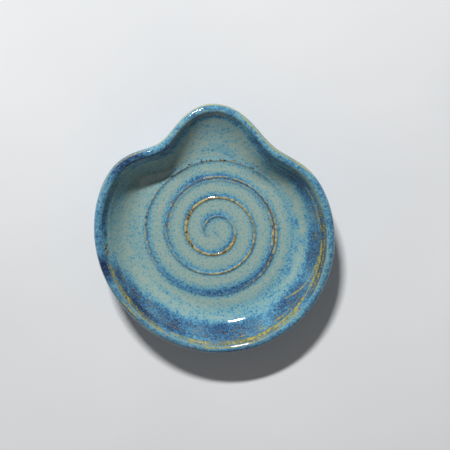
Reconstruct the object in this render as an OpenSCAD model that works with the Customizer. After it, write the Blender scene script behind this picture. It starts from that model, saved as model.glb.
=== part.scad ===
// Spoon rest: a thrown stoneware dish, with one side of its wall pulled out into a lip, under glaze.
// Lengths are in millimetres. Turns are in degrees, clockwise from above, counted from the lip.
// The dish stands on z = 0 with the wheel's axis on the origin and the lip towards +Y.

/* [Rim] */
// Plan radius of the rim at its outer edge, away from the lip
rim_radius = 59; // [56:0.5:64]
// Height of the rim's crest over the table
rim_height = 19; // [17:0.5:22]
// Radius of the rounded bead along the rim
bead_radius = 2.5; // [2:0.1:3]
// How far the plan swells and narrows from a true circle
oval_swell = 1.4; // [0:0.1:2.5]
// Turn at which the plan swells most
oval_turn = -33; // [-60:1:60]

/* [Wall] */
// Height of the glazed floor over the table
floor_height = 5; // [4.6:0.1:6]
// Plan width of the inner curve from the flat floor up to the bead
wall_run = 17; // [15:0.5:20]
// Slope of the inner wall where it meets the bead
wall_lean = 57; // [50:1:65]
// Slope of the outer wall where it leaves the bead
wall_under_lean = 52; // [45:1:60]
// Plan width of the steep upper part of the inner wall
steep_run = 6.5; // [6:0.1:7]

/* [Lip] */
// How far the lip is pulled out past the rim
lip_pull = 5.6; // [3:0.2:9]
// How far the lip's edge dips below the rim
lip_drop = 5; // [2:0.5:7]
// Spread of the pull to each side of the lip, as a turn
lip_spread = 30; // [26:1:34]
// Spread of the channel down the lip, as a turn
channel_spread = 21; // [17:1:26]
// Plan length of the channel's rise
lip_run = 27; // [23:0.5:30]
// Slope of the channel where it meets the bead
lip_lean = 35; // [30:1:45]
// Slope under the lip where it leaves the bead
lip_under_lean = 32; // [28:1:42]

/* [Dents] */
// How far the wall is pressed in on the left of the lip
left_press = 9.6; // [6:0.2:10.4]
// Turn of the left dent
left_turn = -28.4; // [-34:0.2:-24]
// Spread of the left dent, as a turn
left_spread = 17.2; // [14:0.2:20]
// How far the wall is pressed in on the right of the lip
right_press = 7.1; // [4:0.1:8]
// Turn of the right dent
right_turn = 31.4; // [27:0.2:36]
// Spread of the right dent, as a turn
right_spread = 19.2; // [16:0.2:22]

/* [Spiral] */
// Radius at which the thrower's spiral ridge starts
spiral_start = 3.6; // [3:0.1:4.5]
// Turn at which the ridge starts
spiral_turn = 221; // [200:1:240]
// Plan distance from one lap of the ridge to the next
spiral_pitch = 9.9; // [8.5:0.1:11]
// Width of the ridge at its foot
ridge_width = 1.8; // [1.2:0.1:2.4]
// Height of the ridge over the floor
ridge_height = 0.7; // [0.3:0.05:1]

/* [Throwing line] */
// Plan distance of the raised line under the rim from the rim's outer edge
line_inset = 7.6; // [7:0.1:8]
// Width of the line at its foot
line_width = 1.4; // [1:0.1:1.6]
// Height of the line over the wall
line_height = 0.35; // [0.2:0.05:0.5]

/* [Foot] */
// Outer radius of the trimmed foot ring
foot_radius = 40; // [37:0.5:42]
// Height of the foot ring
foot_height = 2; // [1.5:0.1:2.4]
// Bevel along the foot's lower edge
foot_bevel = 0.6; // [0.3:0.1:0.8]
// Width of the foot ring
foot_width = 5.5; // [4:0.5:8]
// Depth of the trimmed hollow inside the foot ring
hollow_depth = 1.1; // [0.6:0.1:1.4]

/* [Glaze] */
// Thickness of the glaze coat
glaze_coat = 0.6; // [0.4:0.05:0.8]
// Thickness of the glaze where it breaks thin over the ridge
thin_coat = 0.3; // [0.2:0.05:0.4]

/* [Hidden] */

// Columns round the dish. They crowd towards the lip, where the plan bends most.
columns = 56;
last_column = columns - 1;
crowding_turn = 25;
seam_step = 120;
// Rows of one lap of the spiral: the trough, the ridge's inner foot, its crest and its outer foot
lap_rows = 4;
most_laps = 6;
// Turns over which the ridge grows out of the floor and fades into the wall
grow_turn = 40;
fade_turn = 140;
// Turn over which the rows that carry on the last lap close up against the steep wall
closing_turn = 120;
// Places of those rows between the last lap and the steep wall, and of the rows down the outer wall
closing_shares = [0.2, 0.4, 0.6, 0.8];
outer_shares = [0.75, 0.5, 0.26];
// Segments round the bead, and facets of the hollow's edge
bead_steps = 6;
hollow_facets = 96;
overrun = 1;

function mix(from, to, share) = from + (to - from) * share;
function wrapped(turn) = (turn + 540) % 360 - 180;
function swell(turn, centre, spread) = exp(-pow(wrapped(turn - centre) / spread, 2));

// Plan and heights of the dish at one turn

function channel(turn) = swell(turn, 0, channel_spread);
function plan_radius(turn) =
    rim_radius
    + oval_swell * cos(2 * (turn - oval_turn))
    + lip_pull * swell(turn, 0, lip_spread)
    - left_press * swell(turn, left_turn, left_spread)
    - right_press * swell(turn, right_turn, right_spread);
function crest_height(turn) = rim_height - lip_drop * channel(turn);
function inner_lean(turn) = mix(wall_lean, lip_lean, channel(turn));
function outer_lean(turn) = mix(wall_under_lean, lip_under_lean, channel(turn));
function rise_run(turn) = mix(wall_run, lip_run, channel(turn));

// A place on the bead, where a profile that runs outwards has the given slope
function on_bead(turn, lean) =
    [plan_radius(turn) - bead_radius * (1 + sin(lean)),
     crest_height(turn) - bead_radius * (1 - cos(lean))];
function wall_top(turn) = on_bead(turn, inner_lean(turn));
function steep_radius(turn) = wall_top(turn)[0] - steep_run;

// A station of the profile is its radius, height, slope and thickness of glaze.

// The inside rises from the flat floor by a power curve that meets the bead at its slope.
function inside_station(turn, radius, raise, coat) =
    let (top = wall_top(turn))
    let (run = rise_run(turn))
    let (rise = top[1] - floor_height)
    let (slope = tan(inner_lean(turn)))
    let (bend = slope * run / rise)
    let (share = max(0, 1 - (top[0] - radius) / run))
    let (lean = atan(slope * pow(share, bend - 1)))
    [radius - raise * sin(lean),
     floor_height + rise * pow(share, bend) + raise * cos(lean),
     lean,
     coat];

// The outside falls by a like curve from the bead, at share 1, to the foot, at share 0.
function outside_station(turn, share) =
    let (top = on_bead(turn, outer_lean(turn) - 180))
    let (run = top[0] - foot_radius)
    let (rise = top[1] - foot_height)
    let (slope = tan(outer_lean(turn)))
    let (bend = slope * run / rise)
    [foot_radius + run * share,
     foot_height + rise * pow(share, bend),
     atan(slope * pow(share, bend - 1)) - 180,
     glaze_coat];

// The thrower's spiral: its radius, how much of its height it has, and its rows

function ridge_radius(turn, lap) =
    spiral_start + spiral_pitch * ((turn - spiral_turn) / 360 + lap);
function column_turn(column) =
    let (step = seam_step + 360 * column / columns)
    step - crowding_turn * sin(step);
turns = [for (column = [0:last_column]) column_turn(column)];
function lap_room(lap) =
    min([for (turn = turns) steep_radius(turn) - ridge_radius(turn, lap)]);
laps = max([1, for (lap = [1:most_laps]) if (lap_room(lap) > ridge_width) lap]);
spiral_end = turns[0] - spiral_turn + 360 * (laps + 1);
function ridge_share(turn, lap) =
    let (travel = turn - spiral_turn + 360 * lap)
    max(0, min(1, travel / grow_turn, (spiral_end - travel) / fade_turn));
function ridge_edge(turn, lap, side) = ridge_radius(turn, lap) + side * ridge_width / 2;
function ridge_stations(turn, lap) =
    [for (side = [-1:1])
        let (share = side == 0 ? ridge_share(turn, lap) : 0)
        inside_station(
            turn,
            ridge_edge(turn, lap, side),
            ridge_height * share,
            mix(glaze_coat, thin_coat, share))];
function lap_stations(turn, lap) =
    concat(
        [inside_station(turn, ridge_radius(turn, lap - 1 / 2), 0, glaze_coat)],
        ridge_stations(turn, lap));

// Rows that carry on the last lap and close up, of the throwing line, and round the bead

function closing_stations(turn) =
    let (edge = ridge_edge(turn, laps, 1))
    let (closed = min(1, (turn - turns[0]) / closing_turn))
    let (carried = [
        ridge_radius(turn, laps + 1 / 2),
        for (side = [-1:1]) ridge_edge(turn, laps + 1, side)])
    [for (row = [0:lap_rows - 1])
        let (shut = mix(edge, steep_radius(turn), closing_shares[row]))
        inside_station(turn, mix(carried[row], shut, closed), 0, glaze_coat)];
function line_stations(turn) =
    [for (side = [-1:1])
        inside_station(
            turn,
            plan_radius(turn) - line_inset + side * line_width / 2,
            side == 0 ? line_height : 0,
            glaze_coat)];
function bead_stations(turn) =
    [for (step = [0:bead_steps])
        let (lean = mix(inner_lean(turn), outer_lean(turn) - 180, step / bead_steps))
        concat(on_bead(turn, lean), [lean, glaze_coat])];
function column_stations(turn) =
    concat(
        [for (lap = [1:laps]) each lap_stations(turn, lap)],
        closing_stations(turn),
        [inside_station(turn, steep_radius(turn), 0, glaze_coat)],
        line_stations(turn),
        bead_stations(turn),
        [for (share = outer_shares) outside_station(turn, share)]);

// Row numbers: the spiral's rows, the rim glaze's two edges and the glaze line over the foot
spiral_rows = lap_rows * (laps + 1) + 1;
rim_first_row = spiral_rows + 2;
rim_last_row = rim_first_row + bead_steps + 1;
glaze_row = rim_last_row + len(outer_shares);
glazed_rows = glaze_row + 1;

// Columns of the ridge's first part, which starts inside the first lap
start_column = min([for (column = [0:last_column]) if (turns[column] >= spiral_turn) column]);
start_columns = columns - start_column;

// Points of one face of the coats. Depth 0 is the face of the glaze, and depth 1 is the clay under it.

stations = [for (turn = turns) column_stations(turn)];
function place(turn, station, depth) =
    let (lean = station[2])
    let (sink = depth * station[3])
    let (radius = station[0] + sink * sin(lean))
    [radius * sin(turn), radius * cos(turn), station[1] - sink * cos(lean)];
function row_points(first, last, depth) =
    [for (row = [first:last])
        for (column = [0:last_column])
            place(turns[column], stations[column][row], depth)];
function start_points(depth) =
    let (tip_turn = turns[start_column - 1])
    let (tip = inside_station(tip_turn, ridge_radius(tip_turn, 0), 0, glaze_coat))
    concat(
        [for (side = [0:2])
            for (column = [start_column:last_column])
                place(turns[column], ridge_stations(turns[column], 0)[side], depth)],
        [place(tip_turn, tip, depth)],
        [[0, 0, floor_height - depth * glaze_coat]]);
function inside_points(last, depth) = concat(row_points(0, last, depth), start_points(depth));

// Faces are triangles, seen clockwise from outside the clay.

function at(row, column) = row * columns + column;
function quad(a, b, c, d) = [[a, b, c], [a, c, d]];
function flipped(faces) = [for (face = faces) [face[0], face[2], face[1]]];
function shifted(faces, count) = [for (face = faces) [for (corner = face) corner + count]];

// Faces between the rows first to last, all round
function ring_faces(first, last) =
    [for (row = [first:1:last - 1])
        for (column = [0:last_column])
            let (next = (column + 1) % columns)
            each quad(at(row, column), at(row + 1, column), at(row + 1, next), at(row, next))];

// Faces of the spiral's rows. Past the last column each row goes on as the row one lap further out.
spiral_faces = concat(
    [for (row = [0:spiral_rows - 2])
        for (column = [0:last_column - 1])
            each quad(
                at(row, column), at(row + 1, column), at(row + 1, column + 1), at(row, column + 1))],
    [for (row = [0:spiral_rows - lap_rows - 3])
        each quad(
            at(row, last_column), at(row + 1, last_column),
            at(row + 1 + lap_rows, 0), at(row + lap_rows, 0))],
    [for (row = [spiral_rows - lap_rows - 2:spiral_rows - 3])
        [at(row, last_column), at(row + 1, last_column), at(spiral_rows - 2, 0)]],
    quad(
        at(spiral_rows - 2, last_column), at(spiral_rows - 1, last_column),
        at(spiral_rows - 1, 0), at(spiral_rows - 2, 0)));

// Faces round the centre, with the first part of the ridge. Its points follow those of the rows.
function start_faces(rows) =
    let (base = rows * columns)
    let (tip = base + 3 * start_columns)
    let (centre = tip + 1)
    let (before = start_column - 1)
    let (rail = [for (side = [0:2]) base + side * start_columns - start_column])
    concat(
        [for (column = [0:before - 2]) [centre, at(0, column), at(0, column + 1)]],
        [[centre, at(0, before - 1), tip], [tip, at(0, before - 1), at(0, before)]],
        [[tip, at(0, before), at(0, start_column)], [tip, at(0, start_column), rail[2] + start_column]],
        [[tip, rail[2] + start_column, rail[1] + start_column]],
        [[tip, rail[1] + start_column, rail[0] + start_column]],
        [[centre, tip, rail[0] + start_column]],
        [for (column = [start_column:last_column - 1])
            [centre, rail[0] + column, rail[0] + column + 1]],
        [for (side = [0:1])
            for (column = [start_column:last_column - 1])
                each quad(
                    rail[side] + column, rail[side + 1] + column,
                    rail[side + 1] + column + 1, rail[side] + column + 1)],
        [for (column = [start_column:last_column - 1])
            each quad(rail[2] + column, at(0, column), at(0, column + 1), rail[2] + column + 1)],
        [for (side = [0:1])
            each quad(
                rail[side] + last_column, rail[side + 1] + last_column, at(side + 2, 0), at(side + 1, 0))],
        quad(rail[2] + last_column, at(0, last_column), at(4, 0), at(3, 0)),
        [[centre, rail[0] + last_column, at(0, 0)], [at(0, 0), rail[0] + last_column, at(1, 0)]]);

// Faces of a coat's edge along one row, between its face and its back
function edge_faces(row, back) =
    [for (column = [0:last_column])
        let (next = (column + 1) % columns)
        each quad(
            at(row, column), back + at(row, column), back + at(row, next), at(row, next))];

// A band of glaze from one row to another
module glaze_band(first, last) {
    rows = last - first + 1;
    back = rows * columns;
    front_faces = ring_faces(0, rows - 1);
    polyhedron(
        points = concat(row_points(first, last, 0), row_points(first, last, 1)),
        faces = concat(
            front_faces,
            flipped(shifted(front_faces, back)),
            flipped(edge_faces(0, back)),
            edge_faces(rows - 1, back)));
}

// Clay dish with its lip, spiral ridge, throwing line and trimmed foot
module stoneware_body() {
    foot_profile = [
        [foot_radius, foot_height],
        [foot_radius, foot_bevel],
        [foot_radius - foot_bevel, 0]];
    rows = glazed_rows + len(foot_profile);
    foot_points = [for (corner = foot_profile)
        for (turn = turns) [corner[0] * sin(turn), corner[0] * cos(turn), corner[1]]];
    base_face = [for (column = [last_column:-1:0]) at(rows - 1, column)];
    color("tan") difference() {
        polyhedron(
            points = concat(row_points(0, glaze_row, 1), foot_points, start_points(1)),
            faces = concat(
                start_faces(rows),
                spiral_faces,
                ring_faces(spiral_rows - 1, rows - 1),
                [base_face]));
        translate([0, 0, -overrun])
            cylinder(r = foot_radius - foot_width, h = hollow_depth + overrun, $fn = hollow_facets);
    }
}

// Glaze over the floor, the spiral and the wall up to the throwing line
module inside_glaze() {
    rows = rim_first_row + 1;
    front_points = inside_points(rim_first_row, 0);
    back = len(front_points);
    front_faces = concat(start_faces(rows), spiral_faces, ring_faces(spiral_rows - 1, rows - 1));
    color("cadetblue") polyhedron(
        points = concat(front_points, inside_points(rim_first_row, 1)),
        faces = concat(
            front_faces,
            flipped(shifted(front_faces, back)),
            edge_faces(rim_first_row, back)));
}

// Glaze over the rim's bead and the lip's edge
module rim_glaze() {
    color("steelblue") glaze_band(rim_first_row, rim_last_row);
}

// Glaze down the outer wall to the glaze line over the foot
module outside_glaze() {
    color("teal") glaze_band(rim_last_row, glaze_row);
}

stoneware_body();
inside_glaze();
rim_glaze();
outside_glaze();
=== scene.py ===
"""Hand-thrown spoon rest in glazed stoneware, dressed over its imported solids.

The dish is thrown round, its lip is pulled out between two pressed dents, and its glaze breaks from
grey-green to blue and ochre. Lengths are in metres and turns in degrees, clockwise from above, counted
from the lip.
"""
import logging
import math
from dataclasses import dataclass, field
from enum import Enum, IntEnum
from typing import Sequence, Union

import bpy
import numpy as np
from mathutils import Matrix, Vector


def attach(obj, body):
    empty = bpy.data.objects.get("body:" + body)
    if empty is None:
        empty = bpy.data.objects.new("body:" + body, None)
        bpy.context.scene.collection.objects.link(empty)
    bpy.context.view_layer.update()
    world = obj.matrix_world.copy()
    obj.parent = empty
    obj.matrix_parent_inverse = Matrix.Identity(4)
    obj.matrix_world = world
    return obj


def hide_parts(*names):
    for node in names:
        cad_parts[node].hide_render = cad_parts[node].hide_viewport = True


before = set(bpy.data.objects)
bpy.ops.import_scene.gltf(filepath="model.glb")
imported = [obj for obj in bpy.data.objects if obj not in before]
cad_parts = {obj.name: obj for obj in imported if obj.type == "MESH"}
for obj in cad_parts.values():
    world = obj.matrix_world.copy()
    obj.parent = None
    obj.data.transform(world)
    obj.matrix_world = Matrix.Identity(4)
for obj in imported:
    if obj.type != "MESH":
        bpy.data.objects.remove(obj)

LOG = logging.getLogger("spoon_rest")
IMAGE_SIDE = 450
FULL_TURN = 360.0
MILLIMETRE = 0.001
THROWING_SCALE = 1000.0
BACK_DEPTH = 0.94
SEAM_SHARE = 0.00001

Value = Union[float, bpy.types.NodeSocket]
Stops = tuple[tuple[float, float], ...]
Waves = tuple[tuple[float, float, float], ...]


class Stretch(IntEnum):
    """The stretches of the dish's profile, from the middle of the floor over the rim to the foot."""

    FLOOR = 0
    UPPER_WALL = 1
    BEAD = 2
    OUTER_WALL = 3
    FOOT = 4


class Tint(Enum):
    """Colours of the glaze and the clay, in steps of 0 to 255."""

    PALE_CELADON = (155, 173, 162)
    CELADON = (145, 168, 161)
    SEA = (130, 163, 161)
    TURQUOISE = (114, 160, 168)
    SKY = (82, 142, 173)
    BLUE = (66, 110, 142)
    COBALT = (42, 75, 112)
    NAVY = (25, 43, 73)
    STRAW = (166, 158, 88)
    OLIVE = (106, 108, 68)
    OCHRE = (156, 147, 96)
    HONEY = (180, 173, 126)
    RUST = (126, 93, 55)
    SOOT = (36, 30, 24)
    CLAY = (186, 164, 136)
    WARM_CLAY = (168, 138, 104)
    TOAST = (146, 98, 62)
    IRON = (84, 58, 40)
    TABLE = (226, 227, 228)
    TABLE_SHADE = (219, 221, 223)

    def linear(self) -> tuple[float, float, float, float]:
        """The colour as the shader's linear values."""
        steps = [part / 255 for part in self.value]
        return tuple(
            step / 12.92 if step <= 0.04045 else ((step + 0.055) / 1.055) ** 2.4 for step in steps
        ) + (1.0,)


def mix(first: np.ndarray, last: np.ndarray, share: np.ndarray) -> np.ndarray:
    """Goes from first to last as share goes from 0 to 1."""
    return first + (last - first) * share


def swell(turn: np.ndarray, centre: float, spread: float) -> np.ndarray:
    """A smooth hump of height 1 round a turn."""
    away = (turn - centre + 1.5 * FULL_TURN) % FULL_TURN - FULL_TURN / 2
    return np.exp(-((away / spread) ** 2))


def soft_step(value: np.ndarray, low: float, high: float) -> np.ndarray:
    """Rises smoothly from 0 at low to 1 at high."""
    share = np.clip((value - low) / (high - low), 0, 1)
    return share * share * (3 - 2 * share)


def along(value: np.ndarray, stops: Stops) -> np.ndarray:
    """Reads a given line of stops at each value."""
    return np.interp(value, [stop[0] for stop in stops], [stop[1] for stop in stops])


def waves(turn: np.ndarray, parts: Waves) -> np.ndarray:
    """Adds up waves round the dish, each with its count, its shift in degrees and its height."""
    return sum(height * np.sin(np.radians(count * turn + shift)) for count, shift, height in parts)


@dataclass(frozen=True)
class DishForm:
    """Form of the glazed dish at every turn: rim, wall, lip, dents and foot."""

    rim_radius: float = 0.0589
    rim_height: float = 0.01896
    bead_radius: float = 0.0025
    oval_swell: float = 0.0014
    oval_turn: float = -33.0
    floor_height: float = 0.005
    wall_run: float = 0.017
    wall_lean: float = 57.0
    wall_under_lean: float = 52.0
    lip_pull: float = 0.0056
    lip_drop: float = 0.005
    lip_spread: float = 30.0
    channel_spread: float = 21.0
    lip_run: float = 0.027
    lip_lean: float = 35.0
    lip_under_lean: float = 32.0
    left_press: float = 0.0096
    left_turn: float = -28.4
    left_spread: float = 17.2
    right_press: float = 0.0071
    right_turn: float = 31.4
    right_spread: float = 19.2
    border_inset: float = 0.0069
    glaze_coat: float = 0.0006
    foot_radius: float = 0.0399
    foot_height: float = 0.002
    foot_bevel: float = 0.0006
    foot_width: float = 0.0055
    hollow_depth: float = 0.0011

    def plan_radius(self, turn: np.ndarray) -> np.ndarray:
        """Plan radius of the rim's outer edge."""
        return (
            self.rim_radius
            + self.oval_swell * np.cos(np.radians(2 * (turn - self.oval_turn)))
            + self.lip_pull * swell(turn, 0, self.lip_spread)
            - self.left_press * swell(turn, self.left_turn, self.left_spread)
            - self.right_press * swell(turn, self.right_turn, self.right_spread)
        )

    def channel(self, turn: np.ndarray) -> np.ndarray:
        """How much of the lip's channel is at a turn."""
        return swell(turn, 0, self.channel_spread)

    def inner_lean(self, turn: np.ndarray) -> np.ndarray:
        """Slope of the inner wall under the bead, in radians."""
        return np.radians(mix(self.wall_lean, self.lip_lean, self.channel(turn)))

    def outer_lean(self, turn: np.ndarray) -> np.ndarray:
        """Slope of the outer wall under the bead, in radians."""
        return np.radians(mix(self.wall_under_lean, self.lip_under_lean, self.channel(turn)))

    def on_bead(self, turn: np.ndarray, lean: np.ndarray) -> tuple[np.ndarray, np.ndarray]:
        """Finds points of the bead.

        Args:
            turn: Turns of the points.
            lean: Slopes that the bead has there, in radians.

        Returns:
            Radii and heights.
        """
        crest = self.rim_height - self.lip_drop * self.channel(turn)
        radius = self.plan_radius(turn) - self.bead_radius * (1 + np.sin(lean))
        return radius, crest - self.bead_radius * (1 - np.cos(lean))

    def inside(self, turn: np.ndarray, radius: np.ndarray) -> tuple[np.ndarray, np.ndarray]:
        """Finds the inner face.

        Args:
            turn: Turns of the points.
            radius: Plan radii of the points.

        Returns:
            Heights and slopes, in radians.
        """
        lean = self.inner_lean(turn)
        top_radius, top_height = self.on_bead(turn, lean)
        run = mix(self.wall_run, self.lip_run, self.channel(turn))
        rise = top_height - self.floor_height
        slope = np.tan(lean)
        bend = slope * run / rise
        share = np.clip(1 - (top_radius - radius) / run, 0, 1)
        return self.floor_height + rise * share**bend, np.arctan(slope * share ** (bend - 1))

    def outside(self, turn: np.ndarray, share: np.ndarray) -> tuple[np.ndarray, np.ndarray, np.ndarray]:
        """Finds the outer face.

        Args:
            turn: Turns of the points.
            share: Places from the foot, at 0, to the bead, at 1.

        Returns:
            Radii, heights and slopes, in radians.
        """
        lean = self.outer_lean(turn)
        top_radius, top_height = self.on_bead(turn, lean - math.pi)
        run = top_radius - self.foot_radius
        rise = top_height - self.foot_height
        slope = np.tan(lean)
        bend = slope * run / rise
        radius = self.foot_radius + run * share
        return radius, self.foot_height + rise * share**bend, np.arctan(slope * share ** (bend - 1)) - math.pi

    def foot_corners(self) -> list[tuple[float, float]]:
        """Radii and heights of the foot's corners, from its top outside to the middle of the hollow."""
        hollow_radius = self.foot_radius - self.foot_width
        return [
            (self.foot_radius, self.foot_height),
            (self.foot_radius, self.foot_bevel),
            (self.foot_radius - self.foot_bevel, 0.0),
            (hollow_radius + self.foot_bevel / 2, 0.0),
            (hollow_radius, self.foot_bevel / 2),
            (hollow_radius - self.foot_bevel / 2, self.hollow_depth),
            (0.0, self.hollow_depth),
        ]

    def surface(self, station: np.ndarray, turn: np.ndarray) -> tuple[np.ndarray, np.ndarray, np.ndarray]:
        """Finds points of the profile.

        Args:
            station: Number of the stretch plus the share of the way along it.
            turn: Turns of the points.

        Returns:
            Radii, heights and slopes, in radians.
        """
        stretch = np.clip(np.floor(station), Stretch.FLOOR, Stretch.FOOT)
        share = station - stretch
        border = self.plan_radius(turn) - self.border_inset
        round_border = self.plan_radius(np.full_like(turn, FULL_TURN / 2)) - self.border_inset
        floor_radius = share * mix(round_border, border, soft_step(share, 0, 1))
        top_radius, _ = self.on_bead(turn, self.inner_lean(turn))
        inner_radius = np.where(stretch == Stretch.FLOOR, floor_radius, mix(border, top_radius, share))
        inner_height, inner_lean = self.inside(turn, inner_radius)
        bead_lean = mix(self.inner_lean(turn), self.outer_lean(turn) - math.pi, share)
        bead_radius, bead_height = self.on_bead(turn, bead_lean)
        outer_radius, outer_height, outer_lean = self.outside(turn, 1 - share)
        corners = self.foot_corners()
        corner_shares = np.linspace(0, 1, len(corners))
        foot_radius = np.interp(share, corner_shares, [corner[0] for corner in corners])
        foot_height = np.interp(share, corner_shares, [corner[1] for corner in corners])
        places = [stretch <= Stretch.UPPER_WALL, stretch == Stretch.BEAD, stretch == Stretch.OUTER_WALL]
        radius = np.select(places, [inner_radius, bead_radius, outer_radius], foot_radius)
        height = np.select(places, [inner_height, bead_height, outer_height], foot_height)
        lean = np.select(places, [inner_lean, bead_lean, outer_lean], -math.pi)
        return radius, height, lean


@dataclass(frozen=True)
class ThrowersSpiral:
    """The ridge that the thrower's finger left on the floor, and how the glaze breaks along it.

    Stops are pairs of a travel along the ridge, in degrees, and a value there.
    """

    start_radius: float = 0.0036
    start_turn: float = 221.0
    pitch: float = 0.0099
    end_travel: float = 1317.0
    grow_travel: float = 40.0
    fade_travel: float = 140.0
    ridge_height: float = 0.0006
    ridge_spread: float = 0.00074
    twin_gap: float = 0.0017
    twin_height_share: float = 0.6
    halo_width: float = 0.00122
    line_edge_power: float = 2.6
    line_width: float = 0.00118
    drift: Stops = (
        (0, -0.4), (50, 0.1), (110, 0.0), (160, 0.4), (210, 0.3), (265, 0.0), (360, -0.75), (430, -0.9),
        (515, -0.2), (560, 0.0), (660, -0.4), (720, -0.7), (800, -0.6), (840, 0.1), (935, 0.8),
        (990, 1.0), (1045, 0.5), (1090, 0.0), (1150, -0.5), (1175, -1.4), (1245, -1.4), (1330, 0.0),
    )
    height_stops: Stops = (
        (0, 0.5), (80, 0.9), (320, 1.0), (690, 1.0), (760, 0.85), (990, 1.0), (1040, 0.55), (1085, 0.5),
        (1130, 0.8), (1220, 0.75), (1317, 0.5),
    )
    twin_stops: Stops = ((740, 0), (800, 0.6), (870, 0.75), (930, 1), (985, 1), (1010, 0))
    twin_ochre_stops: Stops = (
        (735, 0), (760, 0.56), (925, 0.58), (942, 0.9), (958, 0.9), (972, 0.35), (1000, 0.3), (1010, 0),
    )
    groove_soot_stops: Stops = ((715, 0), (745, 0.7), (935, 0.88), (945, 0.35), (985, 0.3), (1000, 0))
    line_width_stops: Stops = (
        (0, 1.1), (45, 0.7), (90, 1.0), (165, 0.8), (230, 0.9), (252, 1.7), (290, 1.6), (315, 1.2),
        (360, 1.5), (400, 1.9), (445, 1.8), (485, 1.5), (560, 1.15), (640, 1.3), (690, 1.15), (725, 0.9),
        (790, 1.4), (830, 0.9), (935, 0.9), (945, 1.2), (1000, 1.3), (1040, 1.1), (1100, 1.2),
        (1200, 1.5), (1290, 1.2),
    )
    ochre_stops: Stops = (
        (0, 0.75), (25, 0.7), (40, 0.3), (62, 0.75), (95, 0.66), (150, 0.62), (200, 0.66), (240, 0.8),
        (262, 1.05), (300, 0.95), (360, 0.9), (400, 1.1), (445, 1.0), (520, 0.85), (660, 0.85),
        (700, 0.7), (735, 0.55), (800, 0.62), (830, 0.6), (900, 0.68), (945, 0.88), (985, 0.82),
        (1005, 0.6), (1025, 0.36), (1080, 0.25), (1100, 0.6), (1160, 0.64), (1235, 0.54), (1260, 0.35),
        (1290, 0),
    )
    soot_stops: Stops = (
        (0, 0), (38, 0.2), (48, 1), (60, 0.9), (85, 0.5), (110, 0.2), (200, 0.1), (235, 0.4), (265, 0.6),
        (310, 0.3), (360, 0.2), (405, 0.28), (470, 0.32), (515, 0.2), (700, 0.3), (760, 0.5), (805, 0.9),
        (840, 0.4), (935, 0.2), (960, 0.1), (990, 0.6), (1015, 0.8), (1060, 0.35), (1100, 0.7),
        (1150, 0.7), (1225, 0.95), (1260, 0.6), (1300, 0),
    )
    inner_blue_stops: Stops = (
        (0, 0.2), (50, 0.36), (95, 0.5), (140, 0.45), (200, 0.32), (235, 0.48), (265, 0.6), (330, 0.58),
        (365, 0.5), (405, 0.44), (470, 0.36), (515, 0.26), (600, 0.46), (660, 0.48), (720, 0.46),
        (800, 0.48), (860, 0.52), (935, 0.62), (960, 0.66), (1045, 0.64), (1085, 0.54), (1150, 0.46),
        (1175, 0.34), (1290, 0.3), (1330, 0.36), (1400, 0.26), (1450, 0),
    )
    outer_blue_stops: Stops = (
        (0, 0.15), (50, 0.42), (85, 0.55), (120, 0.58), (150, 0.5), (210, 0.3), (300, 0.34), (360, 0.42),
        (405, 0.64), (470, 0.68), (515, 0.6), (560, 0.42), (660, 0.46), (720, 0.38), (800, 0.5),
        (835, 0.62), (870, 0.58), (910, 0.4), (1040, 0.46), (1085, 0.46), (1150, 0.32), (1290, 0.25),
        (1330, 0.36), (1400, 0.26), (1450, 0),
    )
    inner_reach_stops: Stops = (
        (0, 1.3), (110, 1.8), (235, 2.0), (280, 2.4), (360, 1.7), (405, 1.2), (515, 1.0), (720, 2.0),
        (935, 2.3), (970, 2.9), (1050, 3.0), (1090, 2.4), (1175, 1.5), (1330, 2.2),
    )
    outer_reach_stops: Stops = (
        (0, 1.0), (110, 1.9), (210, 1.4), (300, 1.0), (405, 1.4), (490, 1.9), (560, 1.3), (660, 1.1),
        (800, 1.4), (840, 1.9), (910, 1.3), (1045, 1.5), (1150, 1.1), (1330, 2.2),
    )

    def nearest(self, radius: np.ndarray, turn: np.ndarray) -> tuple[np.ndarray, np.ndarray]:
        """Finds the nearest lap of the ridge.

        Args:
            radius: Plan radii of the points.
            turn: Turns of the points.

        Returns:
            Signed gaps to the crest, outwards positive, and travels along the ridge.
        """
        base = (turn - self.start_turn) % FULL_TURN
        laps = ((radius - self.start_radius) / self.pitch * FULL_TURN - base) / FULL_TURN
        travel = base + FULL_TURN * np.maximum(0, np.round(laps))
        crest = self.start_radius + self.pitch * travel / FULL_TURN + along(travel, self.drift) * MILLIMETRE
        return radius - crest, travel

    def presence(self, travel: np.ndarray) -> np.ndarray:
        """Finds how much of its height the ridge has as it grows and fades.

        Args:
            travel: Travels along the ridge.

        Returns:
            Shares of the full height.
        """
        growth = np.clip(travel / self.grow_travel, 0, 1)
        fade = np.clip((self.end_travel - travel) / self.fade_travel, 0, 1)
        return np.minimum(growth, fade)

    def raises(self, gap: np.ndarray, travel: np.ndarray) -> np.ndarray:
        """Finds the height of the ridge and its twin crest over the floor.

        Args:
            gap: Signed gaps to the crest.
            travel: Travels along the ridge.

        Returns:
            Heights.
        """
        crest = np.exp(-((gap / self.ridge_spread) ** 2))
        twin = np.exp(-(((gap + self.twin_gap) / self.ridge_spread) ** 2))
        share = crest + twin * self.twin_height_share * along(travel, self.twin_stops)
        height = self.ridge_height * along(travel, self.height_stops)
        return height * np.minimum(share, 1) * self.presence(travel)

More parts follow.
